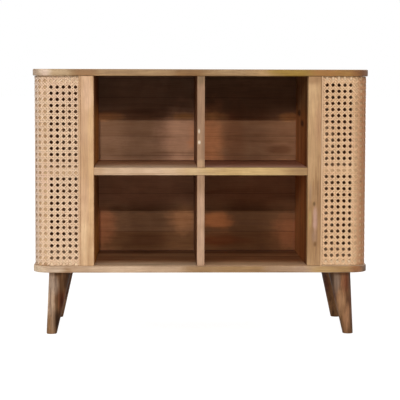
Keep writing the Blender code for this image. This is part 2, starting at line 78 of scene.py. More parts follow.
class Flow:
    """A number that flows through a node tree. Arithmetic on it adds Math nodes."""

    def __init__(self, socket):
        self.socket = socket

    def math(self, operation, *others):
        feeds = dict(enumerate((self, *others)))
        node = place(self.socket.id_data, "ShaderNodeMath", feeds, operation=operation)
        return Flow(node.outputs[0])

    def __add__(self, other):
        return self.math("ADD", other)

    def __sub__(self, other):
        return self.math("SUBTRACT", other)

    def __mul__(self, other):
        return self.math("MULTIPLY", other)

    def __truediv__(self, other):
        return self.math("DIVIDE", other)

    def limited(self, low, high):
        return self.math("MAXIMUM", low).math("MINIMUM", high)

    def ramp(self, start, stop, low=0.0, high=1.0):
        """Eases from low to high while the number goes from start to stop."""
        feeds = {"Value": self, "From Min": start, "From Max": stop, "To Min": low, "To Max": high}
        node = place(self.socket.id_data, "ShaderNodeMapRange", feeds, interpolation_type="SMOOTHSTEP")
        return Flow(node.outputs["Result"])


def mix(share, below, above, way="MIX"):
    """Lays one colour over another, by a share from 0 to 1."""
    feeds = {0: share, 6: below, 7: above}
    tree = share.socket.id_data
    return Flow(place(tree, "ShaderNodeMix", feeds, data_type="RGBA", blend_type=way).outputs[2])


def noise(tree, spot, scale, detail, shift):
    """Soft random values from 0 to 1, stretched by a scale in features a metre for each axis."""
    feeds = {"Vector": spot, "Scale": scale, "Location": (shift, shift, shift)}
    spread = place(tree, "ShaderNodeMapping", feeds)
    feeds = {"Vector": spread, "Scale": 1.0, "Detail": detail}
    return Flow(place(tree, "ShaderNodeTexNoise", feeds).outputs[0])


def within(parts, low, high, fade):
    """1 inside a box and 0 outside, with soft sides; None leaves a side open."""
    share = None
    for part, start, stop, soft in zip(parts, low, high, fade):
        for edge, way in ((start, 1), (stop, -1)):
            if edge is not None:
                side = part.ramp(edge - soft * way / 2, edge + soft * way / 2)
                share = side if share is None else share * side
    return share


def new_material(name):
    """A new material, with its tree, its shader and the place on the piece that is shaded."""
    material = bpy.data.materials.new(name)
    material.use_nodes = True
    tree = material.node_tree
    spot = place(tree, "ShaderNodeTexCoord").outputs["Object"]
    return material, tree, tree.nodes["Principled BSDF"], spot


def patch(parts, ragged, centre, reach):
    """1 at the middle of a ragged patch in the wood and 0 past its reach."""
    squares = None
    for part, middle, radius in zip(parts, centre, reach):
        square = ((part - middle) / radius).math("POWER", 2.0)
        squares = square if squares is None else squares + square
    return (squares.math("SQRT") + (ragged - 0.5) * 1.6).ramp(1.2, 0.3)


LOG_LENGTH = 7.0  # strips come from places up to this far apart along the log
JOINT_WIDTH = 0.0014  # how far a glue joint darkens the wood


def wood(
    name, grain, tones, seed, streak,
    patches=(), patch_box=None, staves=None, stains_and_painted_light=(), rough=0.52, shine=0.25, depth=1.0,
):
    """Lacquered or stained wood, with its colours as red, green and blue from 0 to 255.

    grain is the axis that the fibres follow, tones the two colours that drift through the wood, and
    streak the darker one in its lines. A patch is (middle, reach, colour, strength), and shows only
    inside patch_box, (low, high, fade); some patches are the wood's figure, others painted light and
    shade. staves is (axis, width, start, darkness of the joints) of glued strips. An entry of
    stains_and_painted_light is (low, high, fade, colour) of a box in which the wood takes that colour
    on top of its own, so that 255 leaves it bare; some are real stains, others painted shade and light.
    """
    material, tree, surface, spot = new_material(name)
    split = place(tree, "ShaderNodeSeparateXYZ", {"Vector": spot})
    parts = [Flow(split.outputs[axis]) for axis in range(3)]
    across = [axis for axis in range(3) if axis != grain]

    # Each glued strip is cut from another place of the log, so it is shifted in the pattern.
    sway = noise(tree, spot, [3.5 if axis == grain else 7.0 for axis in range(3)], 1.0, seed + 13) - 0.5
    fibre = [parts[grain], parts[across[0]] + sway * 0.03, parts[across[1]] + sway * 0.02]
    tone_shift, joint = None, None
    if staves:
        axis, width, start, darkness = staves
        strip = (parts[axis] - start) / width
        feeds = {"W": strip.math("FLOOR") + seed}
        draw = place(tree, "ShaderNodeTexWhiteNoise", feeds, noise_dimensions="1D")
        tone_shift = Flow(draw.outputs["Value"])
        fibre[0] = fibre[0] + tone_shift * LOG_LENGTH
        place_in_strip = strip.math("FRACT")
        from_edge = place_in_strip.math("MINIMUM", place_in_strip * -1.0 + 1.0)
        joint = from_edge.ramp(0.0, JOINT_WIDTH / width, darkness, 0.0)
    log = place(tree, "ShaderNodeCombineXYZ", dict(enumerate(fibre)))

    drift = noise(tree, log, (1.6, 11, 11), 2.0, seed)
    band = noise(tree, log, (2.6, 60, 60), 3.0, seed + 3)
    fine = noise(tree, log, (9, 420, 420), 3.0, seed + 5)
    cloud = noise(tree, spot, (26, 26, 26), 3.0, seed + 7)
    pores = noise(tree, log, (55, 1300, 1300), 1.0, seed + 9)
    rings = (noise(tree, log, (0.9, 7, 7), 1.0, seed + 11) * 90.0).math("SINE")

    pale, deep, line = (tint(*colour) for colour in (*tones, streak))
    darker = [min(1.0, dark / light) for dark, light in zip(line, pale)]
    share = drift.ramp(0.36, 0.64)
    if tone_shift:
        share = share * 0.6 + tone_shift * 0.4
    colour = mix(share, pale, deep)
    # Some layers are real stains; the others are painted shade and painted light.
    for low, high, fade, layer_colour in stains_and_painted_light:
        colour = mix(within(parts, low, high, fade), colour, tint(*layer_colour), "MULTIPLY")
    ragged = cloud * 0.6 + band * 0.4
    kept = within(parts, *patch_box) if patch_box else None
    for middle, reach, patch_colour, strength in patches:
        share = patch(parts, ragged, middle, reach) * strength
        colour = mix(share * kept if kept else share, colour, tint(*patch_colour))
    colour = mix(band.ramp(0.5, 0.78) * 0.75 * depth, colour, darker, "MULTIPLY")
    colour = mix(rings.ramp(-0.2, 1.0) * 0.12 * depth, colour, darker, "MULTIPLY")
    colour = mix(cloud.ramp(0.3, 0.7) * 0.20, colour, darker, "MULTIPLY")
    colour = mix(fine.ramp(0.25, 0.75) * 0.16 * depth, colour, tint(255, 236, 208), "SOFT_LIGHT")
    colour = mix(fine.ramp(0.62, 0.38) * 0.20 * depth, colour, darker, "MULTIPLY")
    colour = mix(pores.ramp(0.62, 0.72) * 0.35 * depth, colour, darker, "MULTIPLY")
    if joint:
        colour = mix(joint, colour, tint(110, 92, 80), "MULTIPLY")

    relief = fine * 0.5 + band * 0.3 + pores.ramp(0.62, 0.72) * -0.4
    if joint:
        relief = relief - joint * 0.8
    bump = place(tree, "ShaderNodeBump", {"Height": relief, "Strength": 0.22, "Distance": 0.0004})
    rough = band.ramp(0.3, 0.7, rough - 0.05, rough + 0.08)
    fill(surface, {"Base Color": colour, "Roughness": rough, "Normal": bump, "Specular IOR Level": shine})
    return material


def add(name, data):
    """A new object in the scene, with its mesh, lamp or camera."""
    thing = bpy.data.objects.new(name, data)
    bpy.context.scene.collection.objects.link(thing)
    return thing


def dress(name, material):
    """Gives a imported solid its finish."""
    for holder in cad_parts[name].material_slots:
        holder.material = material


WELD_REACH = 1e-5
SHARP_ANGLE = math.radians(50)  # faces that meet at more than this stay sharp


def smoothed(node_name, piece_name, material):
    """A piece with a solid's shape, welded and with smooth round faces, in that solid's place."""
    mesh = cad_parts[node_name].data.copy()
    mesh.name = piece_name
    welded = bmesh.new()
    welded.from_mesh(mesh)
    bmesh.ops.remove_doubles(welded, verts=welded.verts, dist=WELD_REACH)
    welded.to_mesh(mesh)
    welded.free()
    mesh.shade_smooth()
    mesh.set_sharp_from_angle(angle=SHARP_ANGLE)
    rough = add(piece_name + "_rough", mesh)
    rough.modifiers.new("even shading", "WEIGHTED_NORMAL").keep_sharp = True
    graph = bpy.context.evaluated_depsgraph_get()
    piece = add(piece_name, bpy.data.meshes.new_from_object(rough.evaluated_get(graph)))
    bpy.data.objects.remove(rough)
    piece.data.materials.clear()
    piece.data.materials.append(material)
    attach(piece, "root")
    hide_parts(node_name)


HOUSING = 0.006  # how deep panels and divider are let into the boards
FACE_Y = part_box("shelf")[0].y  # front faces of shelf, divider and posts
INNER_X = -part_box("left_side_panel")[1].x  # inner faces of the side panels
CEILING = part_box("divider")[1].z - HOUSING  # underside of the top board
STAIN = (196, 166, 146)
SKIN = 0.0005  # how far a stain reaches past the face that it is on
OPEN = (None, None, None)  # a corner of a box without limits
CRISP = (SKIN, SKIN, SKIN)  # fade of a stain that ends sharply
EDGE_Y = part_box("top_board")[0].y  # front edges of both boards
TOP_EDGE, BOTTOM_EDGE = 0.706, 0.180  # middle of the thickness of each board
EDGE_MARGIN, EDGE_FADE = 0.0008, 0.0012  # distance of an edge's patches from the board's faces, and fade

top_wood = wood(
    "top_board_mango", 0, ((166, 134, 96), (158, 125, 87)), 11.0, (112, 79, 46),
    patches=(
        # At the left end the pale patches paint light and a greyish reflection onto the round corner, and at
        # the right end the dark ones paint shade onto it; the others are the wood's figure.
        ((-0.375, -0.19, TOP_EDGE), (0.035, 0.08, 0.03), (199, 171, 135), 0.8),
        ((-0.420, -0.18, TOP_EDGE), (0.026, 0.08, 0.03), (216, 192, 168), 0.9),
        ((-0.447, -0.15, TOP_EDGE), (0.020, 0.08, 0.03), (168, 146, 126), 0.9),
        ((-0.417, -0.19, TOP_EDGE), (0.010, 0.04, 0.03), (222, 194, 174), 0.85),
        ((-0.31, EDGE_Y, TOP_EDGE), (0.04, 0.06, 0.03), (142, 102, 66), 0.8),
        ((-0.035, EDGE_Y, TOP_EDGE), (0.055, 0.08, 0.03), (134, 96, 54), 0.85),
        ((0.077, EDGE_Y, TOP_EDGE), (0.035, 0.06, 0.03), (180, 148, 108), 0.7),
        ((0.165, EDGE_Y, TOP_EDGE), (0.03, 0.05, 0.03), (190, 152, 104), 0.6),
        ((0.25, EDGE_Y, TOP_EDGE), (0.08, 0.12, 0.03), (148, 116, 44), 0.95),
        ((0.335, EDGE_Y, TOP_EDGE), (0.05, 0.08, 0.03), (160, 112, 57), 0.95),
        ((0.39, -0.19, TOP_EDGE), (0.040, 0.05, 0.03), (152, 108, 50), 0.85),
        ((0.418, -0.18, TOP_EDGE), (0.022, 0.05, 0.03), (136, 90, 46), 0.9),
        ((0.445, -0.15, TOP_EDGE), (0.035, 0.10, 0.03), (104, 68, 44), 0.9),
    ),
    patch_box=(
        OPEN, (None, None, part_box("top_board")[1].z - EDGE_MARGIN), (SKIN, SKIN, EDGE_FADE),
    ),
    staves=(1, 0.058, 0.021, 0.25),
    stains_and_painted_light=(
        ((-INNER_X, FACE_Y + 0.012, None), (INNER_X, None, CEILING + SKIN), (SKIN, 0.02, SKIN), STAIN),
    ),
)
smoothed("top_board", "top_board_mango", top_wood)


# Bottom board
# The twin of the top board. Its top face is the floor of the lower cubbies, stained brown behind a
# pale front edge that painted light makes paler still, and painted shade makes it darkest at the back.
# The four legs are bolted up into it.

FLOOR_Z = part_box("divider")[0].z + HOUSING
BACK_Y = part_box("back_panel")[0].y  # front face of the back panel
FLOOR_STAIN = (228, 203, 174)
# Painted shade where the floor and the shelf meet the back panel.
BACK_CORNER_SHADE = (176, 150, 138)
PAINTED_FRONT_LIGHT = (295.49, 295.49, 290.83)  # above 255: painted light that makes the floor paler along its front edge

bottom_wood = wood(
    "bottom_board_mango", 0, ((200, 171, 143), (192, 161, 132)), 23.0, (138, 104, 72),
    patches=(
        # The pale patch at the left end paints light onto the round corner, and the dark ones at the right
        # end paint shade onto it; the others are the wood's figure.
        ((-0.440, -0.16, BOTTOM_EDGE), (0.04, 0.08, 0.03), (208, 186, 160), 0.85),
        ((-0.36, EDGE_Y, 0.176), (0.020, 0.06, 0.01), (156, 122, 88), 0.8),
        ((-0.09, EDGE_Y, BOTTOM_EDGE), (0.07, 0.08, 0.03), (180, 150, 122), 0.8),
        ((-0.01, EDGE_Y, BOTTOM_EDGE), (0.045, 0.08, 0.03), (148, 116, 82), 0.9),
        ((-0.395, EDGE_Y, BOTTOM_EDGE), (0.03, 0.06, 0.03), (208, 184, 160), 0.8),
        ((0.12, EDGE_Y, BOTTOM_EDGE), (0.17, 0.12, 0.04), (148, 114, 74), 0.95),
        ((0.27, EDGE_Y, BOTTOM_EDGE), (0.04, 0.06, 0.03), (166, 136, 112), 0.8),
        ((0.21, EDGE_Y, BOTTOM_EDGE), (0.05, 0.08, 0.03), (160, 130, 104), 0.8),
        ((0.335, EDGE_Y, BOTTOM_EDGE), (0.05, 0.08, 0.03), (168, 134, 84), 0.85),
        ((0.385, -0.195, BOTTOM_EDGE), (0.04, 0.06, 0.03), (160, 124, 76), 0.9),
        ((0.422, -0.18, BOTTOM_EDGE), (0.028, 0.05, 0.03), (138, 90, 50), 0.9),
        ((0.447, -0.15, BOTTOM_EDGE), (0.024, 0.07, 0.03), (74, 49, 37), 0.95),
    ),
    patch_box=(
        (None, None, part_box("bottom_board")[0].z + EDGE_MARGIN), (None, None, FLOOR_Z - EDGE_MARGIN),
        (SKIN, SKIN, EDGE_FADE),
    ),
    staves=(1, 0.058, 0.009, 0.25),
    stains_and_painted_light=(
        ((-INNER_X, FACE_Y + 0.088, FLOOR_Z - SKIN), (INNER_X, None, None), (SKIN, 0.12, SKIN), FLOOR_STAIN),
        ((-INNER_X, -0.100, FLOOR_Z - SKIN), (INNER_X, 0.045, None), (SKIN, 0.05, SKIN), (214, 196, 186)),
        # Painted shade at the back of the floor.
        ((-INNER_X, 0.10, FLOOR_Z - SKIN), (INNER_X, None, None), (SKIN, 0.06, SKIN), BACK_CORNER_SHADE),
        ((0.0, None, FLOOR_Z - SKIN), (INNER_X, None, None), (0.01, SKIN, SKIN), (255, 245, 236)),
        # Painted light along the front of the floor.
        ((-INNER_X, None, FLOOR_Z - SKIN), (INNER_X, FACE_Y + 0.025, None), (SKIN, 0.02, SKIN), PAINTED_FRONT_LIGHT),
    ),
)
smoothed("bottom_board", "bottom_board_mango", bottom_wood)


# Shelf
# One board that runs through in front at the crossing. Its front edge is bare pale mango wood and
# its two wide faces are stained brown, with painted shade at the back of its top.

SHELF_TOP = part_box("shelf")[1].z
SHELF_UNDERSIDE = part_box("shelf")[0].z
SHELF_STAIN = (243, 209, 188)
STAIN_Y, STAIN_FADE = FACE_Y + 0.002, 0.004  # where the stain of a face gives way to the bare edge

shelf_wood = wood(
    "shelf_mango", 0, ((216, 185, 157), (207, 176, 146)), 37.0, (152, 114, 78),
    patches=(
        ((0.13, FACE_Y, 0.443), (0.22, 0.03, 0.06), (197, 164, 110), 0.95),
        ((0.285, FACE_Y, 0.443), (0.07, 0.03, 0.04), (156, 122, 80), 0.9),
        ((-0.28, FACE_Y, 0.443), (0.03, 0.06, 0.03), (192, 156, 122), 0.7),
        ((-0.02, FACE_Y, 0.443), (0.016, 0.03, 0.02), (206, 176, 132), 0.7),
    ),
    stains_and_painted_light=(
        ((None, FACE_Y + 0.12, SHELF_TOP - SKIN), OPEN, (SKIN, 0.20, SKIN), SHELF_STAIN),
        # Painted shade at the back of the shelf's top.
        ((None, 0.12, SHELF_TOP - SKIN), OPEN, (SKIN, 0.08, SKIN), BACK_CORNER_SHADE),
        ((0.0, FACE_Y + 0.03, SHELF_TOP - SKIN), OPEN, (0.01, 0.03, SKIN), (220, 196, 203)),
        ((None, STAIN_Y, None), (None, None, SHELF_UNDERSIDE + SKIN), (SKIN, STAIN_FADE, SKIN), STAIN),
    ),
)
dress("shelf", shelf_wood)


# Divider
# A board that stands in the middle and is slotted into the shelf from behind. Its front edge shows
# mottled grey-brown mango wood with a few pale flecks of filler, and its faces are stained.

DIVIDER_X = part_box("divider")[1].x  # its right face

divider_wood = wood(
    "divider_mango", 2, ((170, 133, 105), (159, 124, 96)), 41.0, (122, 90, 64),
    patches=(
        ((0.0, FACE_Y, 0.61), (0.02, 0.03, 0.09), (152, 118, 92), 0.8),
        ((0.0, FACE_Y, 0.33), (0.02, 0.03, 0.06), (190, 154, 128), 0.75),
        ((0.0, FACE_Y, 0.24), (0.02, 0.03, 0.06), (187, 151, 125), 0.75),
        # Painted shade under the top board, at the top of the front edge.
        ((0.0, FACE_Y, 0.690), (0.02, 0.04, 0.02), (128, 102, 72), 0.8),
        ((0.0, FACE_Y, 0.462), (0.02, 0.04, 0.014), (196, 160, 122), 0.6),
        ((-0.0050, FACE_Y, 0.550), (0.003, 0.02, 0.007), (226, 208, 186), 0.8),
        ((-0.0045, FACE_Y, 0.521), (0.004, 0.02, 0.006), (232, 216, 196), 0.85),
    ),
    stains_and_painted_light=(
        ((None, STAIN_Y, None), (SKIN - DIVIDER_X, None, None), (SKIN, STAIN_FADE, SKIN), STAIN),
        ((DIVIDER_X - SKIN, STAIN_Y, None), OPEN, (SKIN, STAIN_FADE, SKIN), STAIN),
    ),
)
dress("divider", divider_wood)


# Side panels
# The walls between the cubbies and the cane-wrapped ends: boards of glued upright strips with a
# warm brown stain, let into both boards and tongued into the front posts.

LEFT_WALL_STAIN = (248, 204, 138)
RIGHT_WALL_STAIN = (243, 197, 160)
WALL_TONES = ((230, 190, 147), (217, 175, 131))

left_wall_wood = wood(
    "left_wall_mango", 2, WALL_TONES, 53.0, (134, 92, 56),
    patches=(
        ((-INNER_X, -0.10, 0.52), (0.01, 0.05, 0.14), (92, 52, 26), 0.6),
        ((-INNER_X, -0.08, 0.30), (0.01, 0.06, 0.08), (150, 84, 50), 0.5),
    ),
    staves=(1, 0.062, 0.010, 0.6),
    stains_and_painted_light=(
        ((-INNER_X - SKIN, None, None), OPEN, CRISP, LEFT_WALL_STAIN),
        # Painted shade on the wall: its top under the top board, and the part under the shelf.
        ((-INNER_X - SKIN, None, 0.600), OPEN, (SKIN, SKIN, 0.07), (150, 140, 160)),
        ((-INNER_X - SKIN, None, 0.300), (None, None, SHELF_UNDERSIDE), (SKIN, SKIN, 0.07), (172, 170, 182)),
    ),
    rough=0.6, shine=0.12,
)
right_wall_wood = wood(
    "right_wall_mango", 2, WALL_TONES, 59.0, (134, 92, 56),
    patches=(
        ((INNER_X, 0.075, 0.592), (0.01, 0.065, 0.012), (58, 30, 14), 0.85),
        ((INNER_X, -0.02, 0.566), (0.01, 0.065, 0.012), (58, 30, 14), 0.85),
    ),
    staves=(1, 0.062, 0.022, 0.6),
    stains_and_painted_light=(
        (OPEN, (INNER_X + SKIN, None, None), CRISP, RIGHT_WALL_STAIN),
        # Painted shade: the front of the wall is darker, and its top under the top board.
        (OPEN, (INNER_X + SKIN, 0.03, None), (SKIN, 0.10, SKIN), (225, 214, 200)),
        (OPEN, (INNER_X + SKIN, -0.10, None), (SKIN, 0.08, SKIN), (164, 154, 144)),
        ((None, None, 0.600), (INNER_X + SKIN, None, None), (SKIN, SKIN, 0.07), (205, 230, 255)),
    ),
    rough=0.6, shine=0.12,
)
dress("left_side_panel", left_wall_wood)
dress("right_side_panel", right_wall_wood)


# Back panel
# Level strips glued edge to edge, stained brown by hand, so that the strips and their knots take the
# stain unevenly; in the cubbies painted shade and light lie over it. It is screwed to the divider, the
# walls and the rear posts from behind.

STRIP = 0.0555  # width of a strip
LOWEST_JOINT = 0.2448  # height of the first joint above the floor
BAY_X = -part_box("left_side_panel")[0].x  # where the end bays start, behind the walls
POST_SHADE_X = 0.398  # from here out to the rear posts the front is as dark as the rear face
BACK_STAIN = (234, 206, 193)
# A darker brown for the rear face, the fronts of the rear posts and the front beside them.
DARK_REAR_TONE = (160, 132, 112)
REAR_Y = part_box("back_panel")[1].y
ON_FRONT = BACK_Y + SKIN  # a stain on the front face ends here
UPPER_SHADOW_LINE, LOWER_SHADOW_LINE = 0.585, 0.325  # heights where the shadows of top board and shelf end on the back, where painted shade changes

PATCH_DEPTH = 0.01  # reach of a patch into the panel

# Knots and pale flames, and warm strips of painted light along the top board's shadow line: place
# across and up, reach across and up, colour and strength.
BACK_FIGURE_AND_LIGHT = (
    (-0.045, 0.52, 0.08, 0.10, (212, 160, 126), 0.65),
    (0.030, 0.51, 0.06, 0.12, (206, 132, 84), 0.75),
    (0.105, 0.52, 0.04, 0.10, (142, 92, 60), 0.7),
    (0.237, 0.482, 0.045, 0.016, (110, 66, 38), 0.7),
    (-0.15, 0.2185, 0.07, 0.024, (104, 62, 34), 0.7),
    (-0.28, 0.26, 0.05, 0.07, (186, 116, 76), 0.7),
    (0.27, 0.25, 0.05, 0.06, (170, 104, 66), 0.6),
    (0.07, 0.2185, 0.09, 0.020, (112, 56, 22), 0.8),
    (-0.044, 0.280, 0.050, 0.045, (196, 134, 88), 0.6),
    (0.055, 0.274, 0.055, 0.030, (202, 122, 70), 0.65),
    # Painted light: warm pale strips along the edge of the top board's shadow.
    (-0.265, 0.580, 0.055, 0.016, (226, 158, 100), 0.65),
    (-0.035, 0.580, 0.045, 0.014, (226, 160, 92), 0.65),
    (0.045, 0.580, 0.045, 0.014, (222, 154, 92), 0.65),
    (0.270, 0.578, 0.040, 0.014, (222, 150, 88), 0.6),
)


def between_bays(low, high, soft, colour):
    """A colour laid on the front face from one height to another, for a strip's stain and for painted shade.
    """
    return (-BAY_X, None, low), (BAY_X, ON_FRONT, high), (SKIN, SKIN, soft), colour


back_wood = wood(
    "back_mango", 0, ((222, 188, 152), (206, 170, 134)), 67.0, (148, 108, 76),
    patches=[
        ((x, BACK_Y, z), (wide, PATCH_DEPTH, high), colour, strength)
        for x, z, wide, high, colour, strength in BACK_FIGURE_AND_LIGHT
    ],
    patch_box=(OPEN, (None, BACK_Y + 0.002, None), (SKIN, 0.001, SKIN)),
    staves=(2, STRIP, LOWEST_JOINT, 0.45),
    stains_and_painted_light=(
        ((-BAY_X + HOUSING, None, None), (BAY_X - HOUSING, ON_FRONT, None), CRISP, BACK_STAIN),
        (OPEN, (-POST_SHADE_X, ON_FRONT, None), (0.004, SKIN, SKIN), DARK_REAR_TONE),
        ((POST_SHADE_X, None, None), (None, ON_FRONT, None), (0.004, SKIN, SKIN), DARK_REAR_TONE),
        ((None, REAR_Y - SKIN, None), OPEN, CRISP, DARK_REAR_TONE),
        between_bays(SHELF_TOP, None, 0.01, (220, 225, 234)),
        # Painted shade: darker above the top board's shadow line and between the shelf's shadow line and the
        # shelf, and the lit back of the lower cubbies below that line is painted darker.
        between_bays(UPPER_SHADOW_LINE, None, 0.05, (206, 210, 211)),
        between_bays(LOWER_SHADOW_LINE, SHELF_UNDERSIDE, 0.05, (233, 229, 232)),
        between_bays(None, LOWER_SHADOW_LINE, 0.05, (172, 168, 159)),
        between_bays(None, LOWEST_JOINT, 0.002, (232, 219, 198)),
        ((0.0, None, None), (BAY_X, ON_FRONT, None), (0.02, SKIN, SKIN), (233, 223, 208)),
        ((-BAY_X, None, SHELF_TOP), (-0.12, ON_FRONT, UPPER_SHADOW_LINE), (0.06, SKIN, 0.03), (244, 245, 239)),
    ),
    rough=0.65, shine=0.12, depth=0.6,
)
dress("back_panel", back_wood)


# Posts and dowels
# Mango wood posts, doweled into both boards. The front pair are the pale stiles beside the cubbies,
# rebated for the edge of the cane, and the rear pair carry the cane and the back panel.

SEAM_X = 0.3205  # from here to the bead painted shade darkens the right post, in the groove between them

left_post_wood = wood(
    "left_post_mango", 2, ((205, 165, 129), (195, 155, 118)), 71.0, (156, 112, 76),
    patches=(
        ((-0.292, FACE_Y, 0.46), (0.010, 0.06, 0.50), (216, 176, 128), 0.7),
        ((-0.310, FACE_Y, 0.47), (0.014, 0.05, 0.07), (192, 152, 112), 0.7),
        ((-0.300, FACE_Y, 0.66), (0.016, 0.05, 0.06), (222, 182, 150), 0.7),
        ((-0.308, FACE_Y, 0.24), (0.024, 0.05, 0.10), (222, 187, 146), 0.8),
    ),
)
right_post_wood = wood(
    "right_post_mango", 2, ((196, 160, 118), (184, 146, 104)), 73.0, (136, 96, 62),
    patches=(
        ((0.300, FACE_Y, 0.640), (0.020, 0.06, 0.045), (204, 167, 124), 0.7),
        ((0.314, FACE_Y, 0.570), (0.010, 0.06, 0.070), (180, 138, 102), 0.7),
        # Painted shade under the top board, at the top of the post.
        ((0.3005, FACE_Y, 0.690), (0.030, 0.06, 0.014), (160, 122, 84), 0.9),
        ((0.304, FACE_Y, 0.300), (0.050, 0.06, 0.150), (150, 113, 74), 0.95),
        ((0.2945, FACE_Y, 0.385), (0.004, 0.03, 0.035), (158, 126, 98), 0.8),
        ((0.3080, FACE_Y, 0.420), (0.0022, 0.03, 0.045), (136, 100, 62), 0.85),
        ((0.3020, FACE_Y, 0.395), (0.0020, 0.03, 0.040), (144, 106, 68), 0.8),
        ((0.3130, FACE_Y, 0.385), (0.0024, 0.03, 0.045), (128, 90, 56), 0.85),
        ((0.3165, FACE_Y, 0.350), (0.0020, 0.03, 0.035), (138, 98, 64), 0.8),
        ((0.2935, FACE_Y, 0.318), (0.006, 0.03, 0.030), (172, 142, 90), 0.8),
        ((0.3050, FACE_Y, 0.268), (0.009, 0.03, 0.022), (156, 122, 96), 0.85),
        ((0.3065, FACE_Y, 0.315), (0.0075, 0.03, 0.040), (188, 150, 134), 0.9),
        ((0.3036, FACE_Y, 0.3565), (0.0045, 0.03, 0.008), (100, 72, 40), 0.9),
        ((0.3066, FACE_Y, 0.2478), (0.0050, 0.03, 0.009), (116, 80, 42), 0.9),
    ),
    # Painted shade in the groove between the right post and the bead.
    stains_and_painted_light=(((SEAM_X, None, None), (None, FACE_Y + 0.01, None), (0.004, 0.01, SKIN), (206, 194, 176)),),
)
rear_post_wood = wood(
    "rear_post_mango", 2, ((196, 160, 122), (182, 146, 108)), 79.0, (134, 96, 62),
    stains_and_painted_light=((OPEN, (None, BACK_Y - SKIN, None), (SKIN, 0.004, SKIN), DARK_REAR_TONE),),
)
dowel_beech = wood("dowel_beech", 2, ((214, 178, 140), (204, 166, 128)), 83.0, (168, 126, 88), depth=0.6)
dress("left_front_post", left_post_wood)
dress("right_front_post", right_post_wood)
for side in ("left", "right"):
    dress(f"{side}_rear_post", rear_post_wood)
    for post in ("front_post", "rear_post"):
        for end in ("lower", "upper"):
            dress(f"{side}_{post}_{end}_dowel", dowel_beech)


# Formers
# Sawn mango wood shapes behind each cane web, at the top, at the height of the shelf and at the
# bottom, and upright strips in the corners. They hold the bend, and show as pale rows through the
# cane; the upper and lower ones are painted paler, as painted light against the shade behind the cane.

former_wood = wood(
    "former_mango", 1, ((214, 180, 142), (204, 168, 128)), 89.0, (150, 110, 74), rough=0.66,
)
# The same wood painted paler, as painted light where these formers sit in shade behind the cane.
former_wood_painted_light = wood(
    "former_mango_painted_light", 1, ((242, 214, 180), (234, 204, 168)), 91.0, (186, 148, 110), rough=0.66,
)
for side in ("left", "right"):
    dress(f"{side}_corner_strip", former_wood)
    dress(f"{side}_upper_former", former_wood_painted_light)
    dress(f"{side}_middle_former", former_wood)
    dress(f"{side}_lower_former", former_wood_painted_light)


# Cane webs
# Hand-woven cane: upright and level strands in pairs, with diagonals threaded between them so that
# eight-sided holes are left. Each web is bent round the front corner and held by beads at its edges.

CANE_PITCH = {"left": 0.0163, "right": 0.0159}  # from hole to hole
FIRST_COLUMN = {"left": 0.0122, "right": 0.0150}  # from the front edge to the first row of holes
MIDDLE_ROW = {"left": 0.4387, "right": 0.4457}  # height of the row in front of the middle former
ROW_PITCH = 0.0163
STRAND_WIDTH = 0.0033
STRAND_THICKNESS = 0.0008
PAIR_GAP = 0.119  # half the spacing of a pair, in pitches
STEPS_IN_PITCH = 4
UNEVEN = 0.05  # strands stray by up to this much in all, in pitches
PAIR_LIFT, DIAGONAL_LIFT = 0.52, 1.04  # how far strands swing to either side, in thicknesses
SHORTEST_DIAGONAL = 0.2  # in pitches; shorter ones in the corners of the web are left out
SHORTEST_STRAND = 0.003
CROWN = 0.62  # the outer face of a strand is this much of its width
RUN_SPREAD = 37.0  # the lines along each strand are shifted by up to this, in pitches

web_low, web_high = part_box("right_cane_web")
WEB_THICKNESS = 0.0025
CORNER_CENTRE = Vector((0.404, -0.152, 0))
CORNER_RADIUS = CORNER_CENTRE.y - (web_low.y + WEB_THICKNESS / 2)  # to the middle of the web
FRONT_RUN = CORNER_CENTRE.x - web_low.x
BEND_RUN = CORNER_RADIUS * math.pi / 2
WEB_RUN = FRONT_RUN + BEND_RUN + web_high.y - CORNER_CENTRE.y


def open_tree(name, inputs):
    """A Geometry Nodes tree, with the Flow or socket of each named input."""
    tree = bpy.data.node_groups.new(name, "GeometryNodeTree")
    tree.interface.new_socket("Mesh", in_out="OUTPUT", socket_type="NodeSocketGeometry")
    for label, kind in inputs.items():
        tree.interface.new_socket(label, in_out="INPUT", socket_type="NodeSocket" + kind)
    given = place(tree, "NodeGroupInput").outputs
    return tree, {label: Flow(given[label]) for label in inputs}


def close_tree(tree, mesh, material):
    """Ends a tree: what it made becomes real faces with a material."""
    real = place(tree, "GeometryNodeRealizeInstances", {"Geometry": mesh})
    finished = place(tree, "GeometryNodeSetMaterial", {"Geometry": real, "Material": material})
    place(tree, "NodeGroupOutput", {"Mesh": finished})


def grow(name, tree, values, start=None):
    """The piece that a tree makes, as a plain mesh, from values for its named inputs."""
    host = add(name + "_host", start or bpy.data.meshes.new(name + "_host"))
    maker = host.modifiers.new("maker", "NODES")
    maker.node_group = tree
    for entry in tree.interface.items_tree:
        if entry.name in values:
            maker[entry.identifier] = values[entry.name]
    graph = bpy.context.evaluated_depsgraph_get()
    made = host.evaluated_get(graph)
    mesh = bpy.data.meshes.new_from_object(made, preserve_all_data_layers=True, depsgraph=graph)
    bpy.data.objects.remove(host)
    return add(name, mesh)


